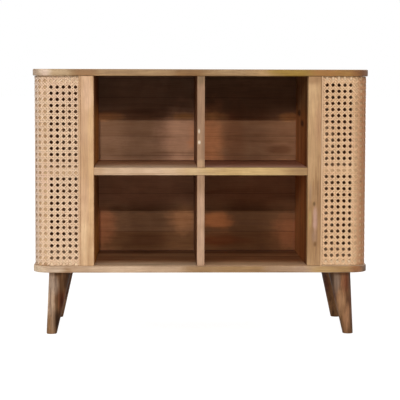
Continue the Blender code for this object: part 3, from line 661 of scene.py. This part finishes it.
weave, given = open_tree("cane_weave", {
    "Column Pitch": "Float", "Row Pitch": "Float", "First Column": "Float", "Middle Row": "Float",
    "Strand Width": "Float", "Strand Thickness": "Float", "Pair Gap": "Float",
    "Front Run": "Float", "Corner Radius": "Float", "Whole Run": "Float", "Bottom": "Float", "Top": "Float",
    "Corner Centre": "Vector", "Side": "Float", "Seed": "Int", "Material": "Material",
})
half_width = given["Strand Width"] * 0.5
first_u = (given["First Column"] * -1.0 + half_width) / given["Column Pitch"]
last_u = (given["Whole Run"] - given["First Column"] - half_width) / given["Column Pitch"]
first_v = (given["Bottom"] - given["Middle Row"] + half_width) / given["Row Pitch"]
last_v = (given["Top"] - given["Middle Row"] - half_width) / given["Row Pitch"]
columns = (last_u - first_u).math("CEIL") + 2
rows = (last_v - first_v).math("CEIL") + 2


def wave(flow, turns, operation):
    return (flow * (math.tau * turns)).math(operation)


def over_and_under(flow):
    """1 on one side of the middle of each pitch and -1 on the other, and 0 halfway between."""
    return (wave(flow, 1, "SINE") * math.sqrt(2) - wave(flow, 2, "SINE")) * 0.5


def in_pairs(kind, number, along, shift):
    """Upright or level strands, in pairs that swing over and under by turns.

    Gives the place across and up in pitches, the place that each step would have in an endless web,
    how far that is out of this one, and the swing in strand thicknesses.
    """
    pair = (number * 0.5).math("FLOOR")
    way = (number - pair * 2) * 2 - 1
    if kind == "upright":
        sides, ends = (first_u, last_u), (first_v, last_v)
    else:
        sides, ends = (first_v, last_v), (first_u, last_u)
    beside = sides[0].math("FLOOR") + (pair + way * given["Pair Gap"] + 0.5 + shift)
    wish = ends[0].math("FLOOR") + along
    reached = wish.limited(*ends)
    outside = beside.math("LESS_THAN", sides[0]) + beside.math("GREATER_THAN", sides[1])
    miss = (wish - reached).math("ABSOLUTE") + outside
    lift = over_and_under(reached) * way * (-PAIR_LIFT if kind == "upright" else PAIR_LIFT)
    u, v = (beside, reached) if kind == "upright" else (reached, beside)
    return u, v, wish, miss, lift


def on_the_slant(kind, number, along, shift):
    """Rising or falling strands, threaded over and under the pairs. Gives what in_pairs() gives."""
    if kind == "rising":
        way, start, near, far = 1, first_u - last_v, first_u, last_u
    else:
        way, start, near, far = -1, first_u + first_v, last_u, first_u
    slant = start.math("FLOOR") + (number + 0.5 + shift)
    low = first_v.math("MAXIMUM", (near - slant) * way)
    high = last_v.math("MINIMUM", (far - slant) * way)
    wish = first_v.math("FLOOR") + along
    v = wish.limited(low, high)
    miss = (wish - v).math("ABSOLUTE") + (low - high).math("GREATER_THAN", -SHORTEST_DIAGONAL)
    swing = (wave(v, 1, "COSINE") * (-math.sqrt(2) * way)).limited(-1.0, 1.0)
    return slant + v * way, v, wish, miss, swing * DIAGONAL_LIFT


def strands(kind, amount):
    """One family of strands as curves in the flat web: X along it, Y up and Z outwards."""
    steps = (columns if kind == "level" else rows) * STEPS_IN_PITCH + 1
    line = place(weave, "GeometryNodeCurvePrimitiveLine", {"End": (1.0, 0.0, 0.0)})
    stepped = place(weave, "GeometryNodeResampleCurve", {"Curve": line, "Count": steps})
    feeds = {"Geometry": stepped, "Amount": amount}
    made = place(weave, "GeometryNodeDuplicateElements", feeds, domain="SPLINE")
    number = Flow(made.outputs["Duplicate Index"])
    step = Flow(place(weave, "GeometryNodeSplineParameter").outputs["Index"])
    along = step / STEPS_IN_PITCH + 0.5 / STEPS_IN_PITCH
    draw = place(weave, "FunctionNodeRandomValue", {2: 0.0, 3: 1.0, "ID": number, "Seed": given["Seed"]})
    luck = Flow(draw.outputs[1])
    family = in_pairs if kind in ("upright", "level") else on_the_slant
    u, v, wish, miss, lift = family(kind, number, along, (luck - 0.5) * UNEVEN)

    past = miss.math("GREATER_THAN", 0.99 / STEPS_IN_PITCH)
    for label, value in (("strand", luck), ("run", wish + luck * RUN_SPREAD), ("past", past)):
        feeds = {"Geometry": made, "Name": label, "Value": value}
        made = place(weave, "GeometryNodeStoreNamedAttribute", feeds, data_type="FLOAT", domain="POINT")
    spot = place(weave, "ShaderNodeCombineXYZ", {
        "X": u * given["Column Pitch"] + given["First Column"],
        "Y": v * given["Row Pitch"] + given["Middle Row"],
        "Z": lift * given["Strand Thickness"],
    })
    laid = place(weave, "GeometryNodeSetPosition", {"Geometry": made, "Position": spot})
    is_past = place(weave, "GeometryNodeInputNamedAttribute", {"Name": "past"}, data_type="FLOAT")
    feeds = {"Geometry": laid, "Selection": is_past.outputs["Attribute"]}
    return place(weave, "GeometryNodeDeleteGeometry", feeds, domain="POINT").outputs[0]


threads = place(weave, "GeometryNodeJoinGeometry")
for kind, amount in (
    ("upright", columns * 2), ("level", rows * 2), ("rising", columns + rows), ("falling", columns + rows),
):
    weave.links.new(strands(kind, amount), threads.inputs[0])
length = Flow(place(weave, "GeometryNodeSplineLength").outputs["Length"])
feeds = {"Geometry": threads, "Selection": length.math("LESS_THAN", SHORTEST_STRAND)}
threads = place(weave, "GeometryNodeDeleteGeometry", feeds, domain="CURVE")
threads = place(weave, "GeometryNodeSetCurveNormal", {"Curve": threads}, mode="Z_UP")

half_thick = given["Strand Thickness"] * 0.5
corners = {}
for across, outward in ((-1.0, -1.0), (1.0, -1.0), (CROWN, 1.0), (-CROWN, 1.0)):
    feeds = {"X": half_width * across, "Y": half_thick * outward}
    corners[f"Point {len(corners) + 1}"] = place(weave, "ShaderNodeCombineXYZ", feeds)
profile = place(weave, "GeometryNodeCurvePrimitiveQuadrilateral", corners, mode="POINTS")
where = place(weave, "ShaderNodeSeparateXYZ", {"Vector": place(weave, "GeometryNodeInputPosition")})
feeds = {"Geometry": profile, "Name": "across", "Value": Flow(where.outputs["X"]) / half_width}
profile = place(weave, "GeometryNodeStoreNamedAttribute", feeds, data_type="FLOAT", domain="POINT")
feeds = {"Curve": threads, "Profile Curve": profile, "Fill Caps": True}
flat_web = place(weave, "GeometryNodeCurveToMesh", feeds)

run, outward = Flow(where.outputs["X"]), Flow(where.outputs["Z"]) + given["Corner Radius"]
centre = place(weave, "ShaderNodeSeparateXYZ", {"Vector": given["Corner Centre"]})
past_front = run - given["Front Run"]
turn = (past_front / given["Corner Radius"]).limited(0.0, math.pi / 2)
past_bend = (past_front - given["Corner Radius"] * (math.pi / 2)).math("MAXIMUM", 0.0)
across = Flow(centre.outputs["X"]) + past_front.math("MINIMUM", 0.0) + outward * turn.math("SINE")
back = Flow(centre.outputs["Y"]) + past_bend - outward * turn.math("COSINE")
feeds = {"X": across * given["Side"], "Y": back, "Z": where.outputs["Y"]}
bent = place(weave, "ShaderNodeCombineXYZ", feeds)
bent_web = place(weave, "GeometryNodeSetPosition", {"Geometry": flat_web, "Position": bent})
feeds = {"Mesh": bent_web, "Selection": given["Side"].math("LESS_THAN", 0.0)}
faced_web = place(weave, "GeometryNodeFlipFaces", feeds)
shaded_web = place(weave, "GeometryNodeSetShadeSmooth", {"Geometry": faced_web})
close_tree(weave, shaded_web, given["Material"])


def cane(name, tones, seed, bend_lighting, bend_start, bend_share):
    """Split cane: each strand has its own tint, fine lines along it and darker sides.

    In the corner, from bend_start on, the tint drifts to bend_lighting by bend_share, and back past
    it: painted light on the left bend and painted shade on the right.
    Close under the top board it darkens with painted shade.
    """
    material, tree, surface, spot = new_material(name)
    strand, run, across = (
        Flow(place(tree, "ShaderNodeAttribute", attribute_name=label).outputs["Fac"])
        for label in ("strand", "run", "across")
    )
    fibre = place(tree, "ShaderNodeCombineXYZ", {"X": run, "Y": across, "Z": strand * 61.0})
    lines = noise(tree, fibre, (0.5, 5.0, 1.0), 2.0, seed)
    length = noise(tree, fibre, (0.25, 0.0, 1.0), 2.0, seed + 2)
    broad = noise(tree, spot, (9, 9, 9), 2.0, seed + 4)
    colour = mix(strand.ramp(0.1, 0.9) * 0.7 + length.ramp(0.3, 0.7) * 0.3, tones[0], tones[1])
    colour = mix(broad.ramp(0.5, 0.75) * 0.5, colour, tones[2])
    split = place(tree, "ShaderNodeSeparateXYZ", {"Vector": spot})
    sideways = Flow(split.outputs["X"]).math("ABSOLUTE").ramp(bend_start, bend_start + BEND_DRIFT)
    in_corner = sideways * Flow(split.outputs["Y"]).ramp(BEND_END, BEND_END + BEND_RETURN, 1.0, 0.0)
    colour = mix(in_corner * bend_share, colour, bend_lighting)
    colour = mix(lines.ramp(0.5, 0.75) * 0.35, colour, tones[3])
    colour = mix(across.math("ABSOLUTE").ramp(0.55, 1.0) * 0.65, colour, tones[3])
    # Painted shade close under the top board.
    painted_shade_under_board = Flow(split.outputs["Z"]).ramp(web_high.z - SHADE_REACH, web_high.z - SHADE_REACH / 3)
    colour = mix(painted_shade_under_board * 0.6, colour, tint(120, 86, 54))
    bump = place(tree, "ShaderNodeBump", {"Height": lines, "Strength": 0.25, "Distance": 0.0003})
    roughness = lines.ramp(0.3, 0.7, 0.42, 0.58)
    fill(surface, {"Base Color": colour, "Roughness": roughness, "Normal": bump, "Specular IOR Level": 0.3})
    return material


CANE_TONES = {
    "left": (tint(250, 218, 183), tint(238, 200, 164), tint(244, 203, 175), tint(166, 122, 86)),
    "right": (tint(246, 206, 163), tint(230, 186, 142), tint(236, 187, 148), tint(156, 110, 72)),
}
SHADE_REACH = 0.006  # how far down painted shade darkens the cane under the top board
BEND_DRIFT = 0.030  # over how many metres the tint changes in the bend
BEND_END = CORNER_CENTRE.y  # where the bend runs out into the side
BEND_RETURN = 0.050  # over how many metres past it the tint changes back
# Painted light on the left bend and painted shade on the right, as the bends turn to and from the lamps:
# colour, where the drift starts, and share.
BEND_LIGHTING = {"left": (tint(218, 203, 190), 0.420, 0.7), "right": (tint(176, 121, 78), 0.405, 0.92)}
for side, sign in (("left", -1.0), ("right", 1.0)):
    web = grow(f"{side}_woven_cane", weave, {
        "Column Pitch": CANE_PITCH[side], "Row Pitch": ROW_PITCH,
        "First Column": FIRST_COLUMN[side], "Middle Row": MIDDLE_ROW[side],
        "Strand Width": STRAND_WIDTH, "Strand Thickness": STRAND_THICKNESS, "Pair Gap": PAIR_GAP,
        "Front Run": FRONT_RUN, "Corner Radius": CORNER_RADIUS, "Whole Run": WEB_RUN,
        "Bottom": web_low.z, "Top": web_high.z, "Corner Centre": CORNER_CENTRE,
        "Side": sign, "Seed": 5 if side == "left" else 8,
        "Material": cane(f"{side}_cane", CANE_TONES[side], 3.0, *BEND_LIGHTING[side]),
    })
    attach(web, "root")
    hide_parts(f"{side}_cane_web")


# Beads
# Thin strips of reed, pinned over the front and rear edges of each cane web where it meets a post.

bead_reed = wood("bead_reed", 2, ((214, 178, 142), (202, 164, 126)), 97.0, (164, 120, 82), depth=0.6)
for side in ("left", "right"):
    for end in ("front", "rear"):
        smoothed(f"{side}_{end}_bead", f"{side}_{end}_reed_bead", bead_reed)


# Legs
# Round legs turned to a taper from mango wood, set at a splay and finished darker than the body in
# walnut stain under satin lacquer. A hanger bolt and a threaded insert hold each to the board.

LEG_TOP_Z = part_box("bottom_board")[0].z
LEG_LEAN = 0.0225  # how far the foot stands out from the top, along each side of the cabinet
FOOT_X, FOOT_Y = 0.4027, 0.1515
FOOT_RADIUS, TOP_RADIUS = 0.0138, 0.0300

LEG_PATCH_DEPTH, LEG_PATCH_LENGTH = 0.035, 0.040  # reach of a patch into the leg and along it

# Patches on the turned wood, mostly painted light and shade with some figure: pale painted light and
# highlight on the lit sides, painted shade on the sides turned away and on the rear legs. Each is side,
# end, height, place across in radii, reach, colour and strength.
LEG_FIGURE_AND_SHADING = (
    (-1, -1, 0.135, -0.55, 0.022, (190, 166, 146), 0.9),
    (-1, -1, 0.080, -0.65, 0.017, (213, 181, 153), 0.88),
    (-1, -1, 0.140, 0.95, 0.020, (62, 40, 26), 0.9),
    (-1, -1, 0.090, 0.72, 0.016, (108, 56, 32), 0.9),
    (-1, -1, 0.035, 0.00, 0.010, (156, 128, 104), 0.75),
    (-1, -1, 0.035, 0.80, 0.014, (62, 40, 24), 0.9),
    (1, -1, 0.140, -1.10, 0.018, (58, 34, 20), 0.9),
    (1, -1, 0.090, -1.40, 0.018, (82, 49, 46), 0.9),
    (1, -1, 0.140, -0.50, 0.012, (146, 124, 108), 0.85),
    (1, -1, 0.090, -0.40, 0.014, (171, 129, 94), 0.85),
    (1, -1, 0.140, 0.20, 0.010, (140, 92, 64), 0.8),
    (1, -1, 0.140, 0.50, 0.007, (112, 62, 42), 0.8),
    (1, -1, 0.140, 0.95, 0.010, (86, 60, 48), 0.85),
    (1, -1, 0.080, 0.80, 0.014, (98, 64, 44), 0.85),
    (1, -1, 0.040, 0.00, 0.011, (162, 118, 85), 0.8),
    (1, -1, 0.035, 0.95, 0.010, (90, 66, 52), 0.85),
    (-1, 1, 0.140, 0.60, 0.020, (84, 51, 30), 0.9),
    (-1, 1, 0.090, 0.60, 0.018, (75, 41, 22), 0.9),
    (1, 1, 0.140, -0.80, 0.016, (70, 44, 38), 0.9),
    (1, 1, 0.090, -0.90, 0.014, (88, 52, 40), 0.85),
)
figure_and_shading = []
for side_sign, end_sign, height, across_leg, reach, colour, strength in LEG_FIGURE_AND_SHADING:
    share = height / LEG_TOP_Z
    radius = FOOT_RADIUS + (TOP_RADIUS - FOOT_RADIUS) * share
    middle = (
        side_sign * (FOOT_X - LEG_LEAN * share) + across_leg * radius,
        end_sign * (FOOT_Y - LEG_LEAN * share) - radius / 2,
        height,
    )
    figure_and_shading.append((middle, (reach, LEG_PATCH_DEPTH, LEG_PATCH_LENGTH), colour, strength))
leg_wood = wood(
    "leg_walnut_stain", 2, ((150, 114, 80), (120, 86, 58)), 101.0, (66, 42, 26),
    patches=figure_and_shading, rough=0.55, shine=0.06, depth=1.3,
)

# Bright zinc plating, with the faint cloudiness of a plated thread
hardware_zinc, tree, surface, spot = new_material("hardware_zinc")
cloud = noise(tree, spot, (420, 420, 420), 3.0, 7.0)
colour = mix(cloud.ramp(0.3, 0.7), tint(206, 206, 202), tint(182, 184, 184))
fill(surface, {"Base Color": colour, "Roughness": cloud.ramp(0.3, 0.7, 0.26, 0.42), "Metallic": 1.0})

for end in ("front", "rear"):
    for side in ("left", "right"):
        smoothed(f"{end}_{side}_leg", f"{end}_{side}_turned_leg", leg_wood)
        dress(f"{end}_{side}_leg_bolt", hardware_zinc)
        dress(f"{end}_{side}_leg_insert", hardware_zinc)


# Back screws
# Cross-recessed pan head screws of zinc-plated steel, driven through the back panel.

SCREW_NAMES = [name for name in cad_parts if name.startswith("back_screw_")]
HEAD_RADIUS = 0.0034
HEAD_HEIGHT = 0.0020
SHANK_RADIUS = 0.0019
TIP_RADIUS, TIP_LENGTH = 0.0003, 0.004
HEAD_PROFILE = ((1, 0), (1, 0.35), (0.93, 0.72), (0.78, 0.94), (0.62, 1))  # shares of radius and height
RECESS_REACH = 0.0019
RECESS_WIDTH = 0.00075
RECESS_DEPTH = 0.0011
RECESS_FLOOR = 0.6  # size of the recess at its floor, as a share of its mouth
ROUND_FACES = 24
SCREW_SHARP_ANGLE = math.radians(35)


def pan_head_screw():
    """One screw along -Y from the seat of its head, with a cross cut into the head."""
    made = bmesh.new()

    def ring(radius, y):
        turns = [math.tau * step / ROUND_FACES for step in range(ROUND_FACES)]
        return [made.verts.new((radius * math.cos(turn), y, radius * math.sin(turn))) for turn in turns]

    def join(lower, upper):
        for index in range(len(lower)):
            after = (index + 1) % len(lower)
            made.faces.new((lower[index], lower[after], upper[after], upper[index]))

    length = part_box(SCREW_NAMES[0])[1].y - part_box(SCREW_NAMES[0])[0].y - HEAD_HEIGHT
    rings = [ring(TIP_RADIUS, -length), ring(SHANK_RADIUS, -length + TIP_LENGTH), ring(SHANK_RADIUS, 0)]
    rings += [ring(HEAD_RADIUS * wide, HEAD_HEIGHT * high) for wide, high in HEAD_PROFILE]
    made.faces.new(rings[0])
    for lower, upper in zip(rings, rings[1:]):
        join(lower, upper)
    half = RECESS_WIDTH / 2
    cross = []
    for quarter in range(4):
        turn = Matrix.Rotation(quarter * math.pi / 2, 3, "Y")
        for x, z in ((half, half), (RECESS_REACH, half), (RECESS_REACH, -half)):
            cross.append(turn @ Vector((x, HEAD_HEIGHT, z)))
    mouth = [made.verts.new(spot) for spot in cross]
    floor = []
    for spot in cross:
        low = (spot.x * RECESS_FLOOR, HEAD_HEIGHT - RECESS_DEPTH, spot.z * RECESS_FLOOR)
        floor.append(made.verts.new(low))
    join(mouth, floor)
    made.faces.new(floor)
    rim = [edge for edge in made.edges if len(edge.link_faces) == 1]
    bmesh.ops.triangle_fill(made, use_beauty=True, edges=rim)
    bmesh.ops.recalc_face_normals(made, faces=made.faces)
    mesh = bpy.data.meshes.new("pan_head_screw")
    made.to_mesh(mesh)
    made.free()
    mesh.shade_smooth()
    mesh.set_sharp_from_angle(angle=SCREW_SHARP_ANGLE)
    return bpy.data.objects.new("pan_head_screw", mesh)


driven, given = open_tree("driven_screws", {
    "Places": "Geometry", "Screw": "Object", "Seed": "Int", "Material": "Material",
})
shape = place(driven, "GeometryNodeObjectInfo", {"Object": given["Screw"]})
draw = place(driven, "FunctionNodeRandomValue", {2: 0.0, 3: math.tau, "Seed": given["Seed"]})
turned = place(driven, "ShaderNodeCombineXYZ", {"Y": draw.outputs[1]})
set_in = place(driven, "GeometryNodeInstanceOnPoints", {
    "Points": given["Places"], "Instance": shape.outputs["Geometry"], "Rotation": turned,
})
close_tree(driven, set_in, given["Material"])

places = bpy.data.meshes.new("screw_places")
seats = []
for name in SCREW_NAMES:
    low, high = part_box(name)
    seats.append(((low.x + high.x) / 2, high.y - HEAD_HEIGHT, (low.z + high.z) / 2))
places.from_pydata(seats, [], [])
values = {"Screw": pan_head_screw(), "Seed": 4, "Material": hardware_zinc}
screws = grow("back_screws", driven, values, places)
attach(screws, "root")
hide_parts(*SCREW_NAMES)


# Camera, lamps and the white studio
# A white floor under a plain pale sky, a sun-like lamp in front that draws the sharp shadow of the
# top board in the cubbies, a soft lamp to each side of it, one high up that lights the front of floor
# and shelf, and two that light sides, back and top.

CAMERA_AT = Vector((-0.1208, -4.5005, 0.7073))
CAMERA_YAW, CAMERA_PITCH, CAMERA_ROLL = (math.radians(angle) for angle in (1.577, 4.525, 0.15))
CAMERA_LENS = 145.36  # mm, on a sensor 36 mm wide
CAMERA_REACH = 200.0

ahead = Vector((
    math.sin(CAMERA_YAW) * math.cos(CAMERA_PITCH),
    math.cos(CAMERA_YAW) * math.cos(CAMERA_PITCH),
    -math.sin(CAMERA_PITCH),
))
level = Vector((math.cos(CAMERA_YAW), -math.sin(CAMERA_YAW), 0))
upward = level.cross(ahead)
to_right = level * math.cos(CAMERA_ROLL) + upward * math.sin(CAMERA_ROLL)
to_top = upward * math.cos(CAMERA_ROLL) - level * math.sin(CAMERA_ROLL)
turned = Matrix((to_right, to_top, -ahead)).transposed().to_4x4()
camera = add("camera", bpy.data.cameras.new("camera"))
camera.matrix_world = Matrix.Translation(CAMERA_AT) @ turned
camera.data.lens = CAMERA_LENS
camera.data.clip_end = CAMERA_REACH
bpy.context.scene.camera = camera
bpy.context.scene.view_settings.view_transform = "Standard"

SKY_LIGHT = 0.155  # light from all round, where 1 shows a colour as it is written


def sun(name, azimuth, height, brightness, spread):
    """A far lamp, by its bearing from straight in front and its height. At brightness 1 a surface that
    faces it shows its colour as it is written.
    """
    data = bpy.data.lights.new(name, "SUN")
    bearing, climb = math.radians(azimuth), math.radians(height)
    data.energy = math.pi * brightness
    data.angle = math.radians(spread)
    share = math.cos(climb)
    towards = Vector((-math.sin(bearing) * share, math.cos(bearing) * share, -math.sin(climb)))
    add(name, data).rotation_euler = towards.to_track_quat("-Z", "Y").to_euler()


sun("front_lamp", -0.8, 18.8, 0.28, 0.8)
sun("left_lamp", -28.0, 14.0, 0.185, 8.0)
sun("right_lamp", 28.0, 14.0, 0.13, 8.0)
sun("high_lamp", -4.0, 62.0, 0.22, 26.0)
sun("left_side_lamp", -112.0, 30.0, 0.34, 20.0)
sun("right_side_lamp", 112.0, 30.0, 0.28, 20.0)

# A low soft lamp stands in for the light that a pale floor throws up into the lower cubbies.
LOW_LIGHT = 0.38  # its brightness, where 1 is white
LOW_WIDTH, LOW_DEPTH = 2.4, 0.65
LOW_PLACE = (0, -0.575, 0.003)
low_data = bpy.data.lights.new("low_lamp", "AREA")
low_data.shape = "RECTANGLE"
low_data.size, low_data.size_y = LOW_WIDTH, LOW_DEPTH
low_data.energy = LOW_LIGHT * math.pi * LOW_WIDTH * LOW_DEPTH
low_lamp = add("low_lamp", low_data)
low_lamp.location = LOW_PLACE
low_lamp.rotation_euler = (math.pi, 0, 0)
low_lamp.visible_camera = False
low_lamp.visible_glossy = False


def in_sight(tree):
    """1 for what the camera sees, also in a mirror or through glass, and 0 for light on its way."""
    rays = place(tree, "ShaderNodeLightPath").outputs
    seen = Flow(rays["Is Camera Ray"]).math("MAXIMUM", rays["Is Glossy Ray"])
    return seen.math("MAXIMUM", rays["Is Transmission Ray"])


world = bpy.data.worlds.new("white_studio")
bpy.context.scene.world = world
world.use_nodes = True
sky = world.node_tree
strength = in_sight(sky) * (1 - SKY_LIGHT) + SKY_LIGHT
fill(sky.nodes["Background"], {"Color": tint(255, 255, 255), "Strength": strength})

FLOOR_REACH = 40.0
FLOOR_GLOW = 0.93  # how bright the camera sees the floor, where 1 is white
SHADOW_SHARE = (0.2, 0.2, 0.2, 1.0)  # what it sees of lamps and shadows on the floor
FLOOR_COLOUR = (0.8, 0.8, 0.8, 1.0)  # how the floor throws light back at the cabinet
floor_mesh = bpy.data.meshes.new("floor")
corners = [(x * FLOOR_REACH, y * FLOOR_REACH, 0) for x, y in ((-1, -1), (1, -1), (1, 1), (-1, 1))]
floor_mesh.from_pydata(corners, [], [(0, 1, 2, 3)])
floor = add("floor", floor_mesh)
white = bpy.data.materials.new("white_floor")
white.use_nodes = True
tree = white.node_tree
tree.nodes.clear()
glow = place(tree, "ShaderNodeEmission", {"Color": tint(255, 255, 255), "Strength": FLOOR_GLOW})
faint = place(tree, "ShaderNodeBsdfDiffuse", {"Color": SHADOW_SHARE})
shown = place(tree, "ShaderNodeAddShader", {0: glow, 1: faint})
plain = place(tree, "ShaderNodeBsdfDiffuse", {"Color": FLOOR_COLOUR})
either = place(tree, "ShaderNodeMixShader", {0: in_sight(tree), 1: plain, 2: shown})
place(tree, "ShaderNodeOutputMaterial", {"Surface": either})
floor_mesh.materials.append(white)
